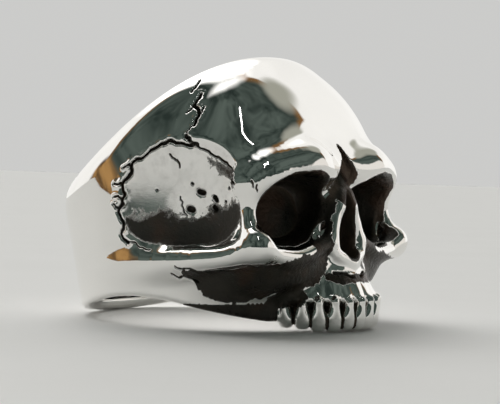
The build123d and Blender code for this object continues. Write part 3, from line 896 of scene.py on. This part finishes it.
def cutting_tree():
    """Cuts a ragged groove with raised lips into a skin, along paths that lie on it."""
    tree = bpy.data.node_groups.new("groove_along_paths", "GeometryNodeTree")
    sockets = tree.interface
    sockets.new_socket(name="Skin", in_out="OUTPUT", socket_type="NodeSocketGeometry")
    for name, kind in (("Skin", "Geometry"), ("Paths", "Object"), ("Half width", "Float"),
                       ("Depth", "Float"), ("Lip", "Float"), ("Raggedness", "Float"),
                       ("Seed", "Int"), ("Finish", "Material")):
        sockets.new_socket(name=name, in_out="INPUT", socket_type="NodeSocket" + kind)
    add, _, sums, span, *_ = nodes_of(tree)
    given = add("NodeGroupInput").outputs
    where = add("GeometryNodeInputPosition").outputs[0]

    def uneven(scale, detail):
        """Noise that differs from one group of seams to the next."""
        share = {"Vector": where, "W": given["Seed"], "Scale": scale, "Detail": detail}
        return add("ShaderNodeTexNoise", share, noise_dimensions="4D").outputs["Fac"]

    def marked(skin, name, value):
        """The skin with an attribute raised to the value, where it holds less."""
        held = add("GeometryNodeInputNamedAttribute", {"Name": name}, data_type="FLOAT")
        more = sums("MAXIMUM", held.outputs["Attribute"], value)
        return add("GeometryNodeStoreNamedAttribute",
                   {"Geometry": skin, "Name": name, "Value": more},
                   data_type="FLOAT", domain="POINT").outputs[0]

    paths = add("GeometryNodeObjectInfo", {"Object": given["Paths"]}).outputs["Geometry"]
    near = add("GeometryNodeProximity", {0: paths}, target_element="EDGES").outputs["Distance"]
    strayed = sums("MULTIPLY", sums("SUBTRACT", uneven(1400, 2.0), 0.5), given["Raggedness"])
    width = sums("MULTIPLY", sums("MULTIPLY_ADD", uneven(520, 1.0), 1.6, 0.2), given["Half width"])
    way = sums("DIVIDE", sums("ADD", near, strayed), width)
    groove = span(sums("SUBTRACT", 1.0, way), 0.0, cut_side)
    off_lip = sums("ABSOLUTE", sums("SUBTRACT", way, lip_way))
    lip = span(sums("SUBTRACT", 1.0, off_lip), 0.0, 1.0)
    rise = sums("SUBTRACT", sums("MULTIPLY", lip, given["Lip"]),
                sums("MULTIPLY", groove, given["Depth"]))
    push = add("ShaderNodeVectorMath",
               {0: add("GeometryNodeInputNormal").outputs[0], "Scale": rise}, operation="SCALE")
    skin = marked(given["Skin"], "seam", groove)
    skin = marked(skin, "touched", span(sums("SUBTRACT", cut_reach, way), 0.0, 0.8))
    move = add("GeometryNodeSetPosition", {"Geometry": skin, "Offset": push.outputs["Vector"]})
    real = add("GeometryNodeRealizeInstances", {0: move.outputs[0]})
    finish = add("GeometryNodeSetMaterial",
                 {"Geometry": real.outputs[0], "Material": given["Finish"]})
    add("NodeGroupOutput", {0: finish.outputs[0]})
    return tree


def grooved(holder, rows, lift, finish):
    """The plain mesh of the skin after every group of seams has been cut into it."""
    tree = cutting_tree()
    names = {item.name: item.identifier for item in tree.interface.items_tree
             if item.in_out == "INPUT"}
    tools = []
    for number, (row, cut) in enumerate(zip(rows, CUTS)):
        tools.append(path_piece(f"seam_paths_{number}", row, lift))
        knife = holder.modifiers.new(f"cut_{number}", "NODES")
        knife.node_group = tree
        given = {"Paths": tools[-1], "Half width": cut.half * bone / 1000,
                 "Depth": cut.deep * bone / 1000, "Lip": cut.lip * bone / 1000,
                 "Raggedness": cut.ragged * bone / 1000, "Seed": number + 1, "Finish": finish}
        for name, value in given.items():
            knife[names[name]] = value
    holder.update_tag()
    bpy.context.view_layer.update()
    seen = holder.evaluated_get(bpy.context.evaluated_depsgraph_get())
    mesh = bpy.data.meshes.new_from_object(seen)
    holder.modifiers.clear()
    for tool in tools:
        line = tool.data
        bpy.data.objects.remove(tool)
        bpy.data.meshes.remove(line)
    return mesh


def shaded(mesh, out):
    """Smooth shading by the ways out of the metal, and by the facets where a cut moved them."""
    share = np.zeros(len(mesh.vertices), np.float32)
    mesh.attributes["touched"].data.foreach_get("value", share)
    flat = np.zeros(3 * len(mesh.vertices), np.float32)
    mesh.vertices.foreach_get("normal", flat)
    share = share[:, None]
    out = out * (1 - share) + flat.reshape(-1, 3) * share
    out /= np.maximum(np.linalg.norm(out, axis=1), 1e-9)[:, None]
    mesh.polygons.foreach_set("use_smooth", [True] * len(mesh.polygons))
    mesh.normals_split_custom_set_from_vertices(out.tolist())
    mesh.update()


def skull_piece(finish):
    """The whole ring, and how far it is lifted to lie on the floor."""
    places, meshes, out, skin, rows = sculpted()
    deep = hollowness(places, out, skin)
    spot = Spot(np.abs(places[:, 0]), places[:, 1], places[:, 2])
    patina = patinated(spot, deep)
    satin, cloud = temple_finish(spot)
    lift = -lying(places, out, 0)[0][:, 2].min() * 1000
    spots, out = lying(places, out, lift)
    mesh = bpy.data.meshes.new("skull_skin")
    mesh.from_pydata(spots.tolist(), [], meshes[:, ::-1].tolist())
    for name, amount in (("hollow", deep), ("patina", patina), ("satin", satin),
                         ("cloud", cloud), ("seam", 0 * deep), ("touched", 0 * deep)):
        layer = mesh.attributes.new(name, "FLOAT", "POINT")
        layer.data.foreach_set("value", amount.astype(np.float32))
    holder = piece("skull", mesh)
    holder.data = grooved(holder, rows, lift, finish)
    bpy.data.meshes.remove(mesh)
    shaded(holder.data, out)
    return holder, lift / 1000


# The silver's colours, mostly pairs that noise blends
BRIGHT = [(0.90, 0.89, 0.865, 1), (0.965, 0.955, 0.93, 1)]
WORN_THIN = (0.40, 0.385, 0.36, 1)
DARK = [(0.013, 0.013, 0.012, 1), (0.055, 0.048, 0.036, 1)]
RUSTY = [(0.022, 0.013, 0.009, 1), (0.090, 0.050, 0.030, 1)]
DUSTY = [(0.060, 0.050, 0.038, 1), (0.21, 0.155, 0.115, 1)]


def patinated_silver():
    """Polished silver, bright on the heights, with brown-black patina held in the hollows."""
    material = bpy.data.materials.new("patinated_silver")
    material.use_nodes = True
    tree = material.node_tree
    add, fill, sums, span, noise, blend = nodes_of(tree)
    where = add("ShaderNodeTexCoord").outputs["Object"]
    mottle = noise(where, 430, 5.0, 0.65)

    def level(name):
        return add("ShaderNodeAttribute", attribute_name=name).outputs["Fac"]

    def patina_share():
        """Where the patina lies, with a grainy border."""
        patchy = sums("SUBTRACT", noise(where, 1700, 5.0, 0.65), 0.5)
        ragged = sums("ADD", level("patina"), sums("MULTIPLY", patchy, 0.55))
        held = sums("MAXIMUM", span(ragged, 0.34, 0.66), span(level("seam"), 0.10, 0.42))
        coarse = sums("MULTIPLY", noise(where, 620, 4.0), 0.7)
        grainy = sums("ADD", noise(where, 2100, 6.0, 0.8), coarse)
        clouded = sums("MULTIPLY_ADD", sums("SUBTRACT", grainy, 0.85), 1.5, level("cloud"))
        near = span(level("cloud"), 0.02, 0.22)
        clouded = sums("MULTIPLY", span(clouded, 0.30, 0.70), near)
        return sums("MAXIMUM", held, sums("MULTIPLY", clouded, 0.97))

    def tint(patina):
        """Near black to rust brown in the patina, dusty deep in the hollows, else silver."""
        warm = noise(where, 240, 3.0, 0.5)
        dark = blend(span(warm, 0.42, 0.62), blend(mottle, *DARK), blend(mottle, *RUSTY))
        dark = blend(span(level("hollow"), 0.25, 0.85), dark, blend(mottle, *DUSTY))
        thin = sums("MULTIPLY", level("satin"), span(noise(where, 900, 5.0, 0.7), 0.42, 0.75))
        bright = blend(noise(where, 160, 3.0), *BRIGHT)
        bright = blend(sums("MULTIPLY", thin, 0.35), bright, WORN_THIN)
        return blend(patina, bright, dark)

    def brush_marks():
        """Fine lines in one direction."""
        given = {"Vector": where, "Rotation": (0.5, 0.3, 0.9), "Scale": (1.0, 4.0, 9.0)}
        return noise(add("ShaderNodeMapping", given).outputs["Vector"], 520, 4.0, 0.65)

    def roughness(patina, brushed):
        haze = span(noise(where, 2600, 3.0), 0.3, 0.8, "LINEAR")
        polish = sums("MULTIPLY_ADD", haze, 0.03, 0.03)
        satin = sums("MULTIPLY", level("satin"), sums("MULTIPLY_ADD", brushed, 0.10, 0.10))
        dull = sums("MULTIPLY", patina, sums("MULTIPLY_ADD", mottle, 0.36, 0.10))
        return sums("ADD", sums("ADD", polish, satin), dull)

    def height(patina, brushed):
        """Coarse patina with beads along its border, and the faint waves of hand polishing."""
        grain = noise(where, 3200, 4.0, 0.6)
        pits = add("ShaderNodeTexVoronoi", {"Vector": where, "Scale": 2600}, feature="SMOOTH_F1")
        border = sums("MULTIPLY", patina, sums("SUBTRACT", 1.0, patina))
        beaded = sums("MULTIPLY", border, span(pits.outputs["Distance"], 0.0, 0.6))
        coarse = sums("MULTIPLY", sums("ADD", grain, mottle), patina)
        wave = noise(where, 210, 2.0, 0.4)
        rise = sums("ADD", sums("MULTIPLY", coarse, 0.09), sums("MULTIPLY", wave, 0.05))
        rise = sums("ADD", rise, sums("MULTIPLY", beaded, 0.14))
        lines = sums("MULTIPLY", brushed, level("satin"))
        return sums("ADD", rise, sums("MULTIPLY", lines, 0.004))

    patina, brushed = patina_share(), brush_marks()
    bump = add("ShaderNodeBump", {"Strength": 1.0, "Distance": 0.001,
                                  "Height": height(patina, brushed)})
    fill(tree.nodes["Principled BSDF"], {
        "Base Color": tint(patina), "Roughness": roughness(patina, brushed),
        "Metallic": sums("MULTIPLY_ADD", patina, -0.45, 1.0), "Normal": bump.outputs["Normal"]})
    return material


skull, ring_lift = skull_piece(patinated_silver())
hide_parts("skull_ring")
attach(skull, "root")


# The floor, the light and the camera
floor_edge = 1.5            # metres, from the middle to each edge


def floor_piece():
    mesh = bpy.data.meshes.new("floor")
    ends = [(-1, -1), (1, -1), (1, 1), (-1, 1)]
    mesh.from_pydata([(x * floor_edge, y * floor_edge, 0) for x, y in ends], [], [(0, 1, 2, 3)])
    floor = piece("floor", mesh)
    paint = bpy.data.materials.new("pale_floor")
    paint.use_nodes = True
    add, fill, _, _, noise, blend = nodes_of(paint.node_tree)
    where = add("ShaderNodeTexCoord").outputs["Object"]
    tint = blend(noise(where, 60, 3.0), (0.80, 0.80, 0.79, 1), (0.84, 0.84, 0.83, 1))
    fill(paint.node_tree.nodes["Principled BSDF"], {"Base Color": tint, "Roughness": 0.7})
    mesh.materials.append(paint)
    return floor


camera_turn = -55.0         # degrees round from the face, towards the skull's right
camera_far = 0.150          # metres, from the hole's axis to the lens
camera_film = 36            # millimetres
photo_width = 500           # pixels
pixels_per_mm = 11.3        # in the photo, at the hole's axis
aim_right = 3.08            # millimetres, from the hole's axis and the plane of the shank's edge
aim_up = 7.3


def photo_camera():
    """The camera stands level with the ring's own way up, so it turns with it into place."""
    turn = math.radians(camera_turn)
    back = Vector((math.sin(turn), -math.cos(turn), 0))
    right = Vector((math.cos(turn), math.sin(turn), 0))
    lens = bpy.data.cameras.new("camera")
    lens.sensor_width = camera_film
    lens.lens = camera_film * camera_far * 1000 / (photo_width / pixels_per_mm)
    lens.clip_start = 0.01
    lens.clip_end = 20
    camera = piece("camera", lens)
    aim = (right * aim_right + Vector((0, 0, aim_up))) / 1000
    own = Matrix((right, Vector((0, 0, 1)), back)).transposed().to_4x4()
    own.translation = aim + back * camera_far
    lean, drop = rest_frame()
    place = Matrix(drop.tolist()).to_4x4()
    place.translation = Vector((0, ring_lift * math.tan(lean), ring_lift))
    camera.matrix_world = place @ own
    bpy.context.scene.camera = camera
    return camera


def studio_way(round_right, rise):
    """A way out into the studio, in degrees from the camera's side of the ring."""
    turn = math.radians(camera_turn + round_right)
    level = math.cos(math.radians(rise))
    return Vector((level * math.sin(turn), -level * math.cos(turn), math.sin(math.radians(rise))))


def lamp(name, way, far, size, power):
    """A soft rectangular lamp that faces the ring."""
    light = bpy.data.lights.new(name, "AREA")
    light.shape = "RECTANGLE"
    light.size, light.size_y = size
    light.energy = power
    holder = piece(name, light)
    holder.location = way * far
    holder.rotation_euler = (-way).to_track_quat("-Z", "Y").to_euler()
    return holder


# Round patches of the studio's walls: place, radius and soft edge in degrees, and one
# colour or two that noise blends
Panel = namedtuple("Panel", "round_right rise wide soft colour")
SCREEN = Panel(12, 4, 101, 1.2, [(0.022, 0.032, 0.028, 1), (0.095, 0.120, 0.106, 1)])
SCREEN_RIM = Panel(12, 4, 97, 3.5, [(0.085, 0.045, 0.022, 1), (0.30, 0.155, 0.05, 1)])
AMBER = Panel(-93, -2, 12, 3.0, [(0.07, 0.040, 0.022, 1), (0.42, 0.235, 0.085, 1)])
PANELS = [
    Panel(96, 0, 24, 2.0, (0.80, 0.77, 0.73, 1)),
    Panel(122, 50, 11, 5.0, (0.36, 0.36, 0.31, 1)),
    Panel(-150, 58, 22, 9.0, (3.0, 2.96, 2.9, 1)),
]
WALLS = [(0.82, 0.81, 0.785, 1), (1.08, 1.07, 1.05, 1)]
BACKDROP = (0.60, 0.60, 0.59, 1)
sky_bend = 0.16             # how far the panels' edges stray, a share of the way out


def bent_way(add):
    """The way out to the sky, bent a little, so that the panels' edges run unevenly."""
    def ways(operation, *values):
        node = add("ShaderNodeVectorMath", enumerate(values), operation=operation)
        return node.outputs["Vector"]

    straight = add("ShaderNodeTexCoord").outputs["Generated"]
    bend = add("ShaderNodeTexNoise", {"Vector": straight, "Scale": 2.2, "Detail": 2.0})
    off = ways("MULTIPLY_ADD", bend.outputs["Color"], [sky_bend] * 3, [-sky_bend / 2] * 3)
    return ways("NORMALIZE", ways("ADD", straight, off))


def studio_sky():
    """White all round, with a large grey-green screen and a few soft panels."""
    sky = bpy.data.worlds.new("studio")
    bpy.context.scene.world = sky
    sky.use_nodes = True
    add, fill, _, span, noise, blend = nodes_of(sky.node_tree)
    way = bent_way(add)

    def within(panel):
        """1 inside a panel, falling to 0 over its soft edge."""
        middle = studio_way(panel.round_right, panel.rise)
        facing = add("ShaderNodeVectorMath", {0: way, 1: middle}, operation="DOT_PRODUCT")
        edges = [math.cos(math.radians(panel.wide + step)) for step in (panel.soft, -panel.soft)]
        return span(facing.outputs["Value"], *edges)

    green = blend(span(noise(way, 1.7, 3.0, 0.6, 0.8), 0.34, 0.66), *SCREEN.colour)
    brown = blend(noise(way, 2.5, 3.0), *SCREEN_RIM.colour)
    amber = blend(span(noise(way, 5.0, 3.0), 0.36, 0.62), *AMBER.colour)
    screen = blend(within(SCREEN_RIM), brown, green)
    colour = blend(within(SCREEN), blend(noise(way, 1.6, 2.0), *WALLS), screen)
    colour = blend(within(AMBER), colour, amber)
    for panel in PANELS:
        colour = blend(within(panel), colour, panel.colour)
    seen = add("ShaderNodeLightPath").outputs["Is Camera Ray"]
    fill(sky.node_tree.nodes["Background"],
         {"Color": blend(seen, colour, BACKDROP), "Strength": 1.0})


floor_piece()
bpy.context.scene.view_settings.view_transform = "Standard"
photo_camera()
studio_sky()
lamp("strip", studio_way(12, 60), far=0.5, size=(0.011, 0.20), power=0.05)
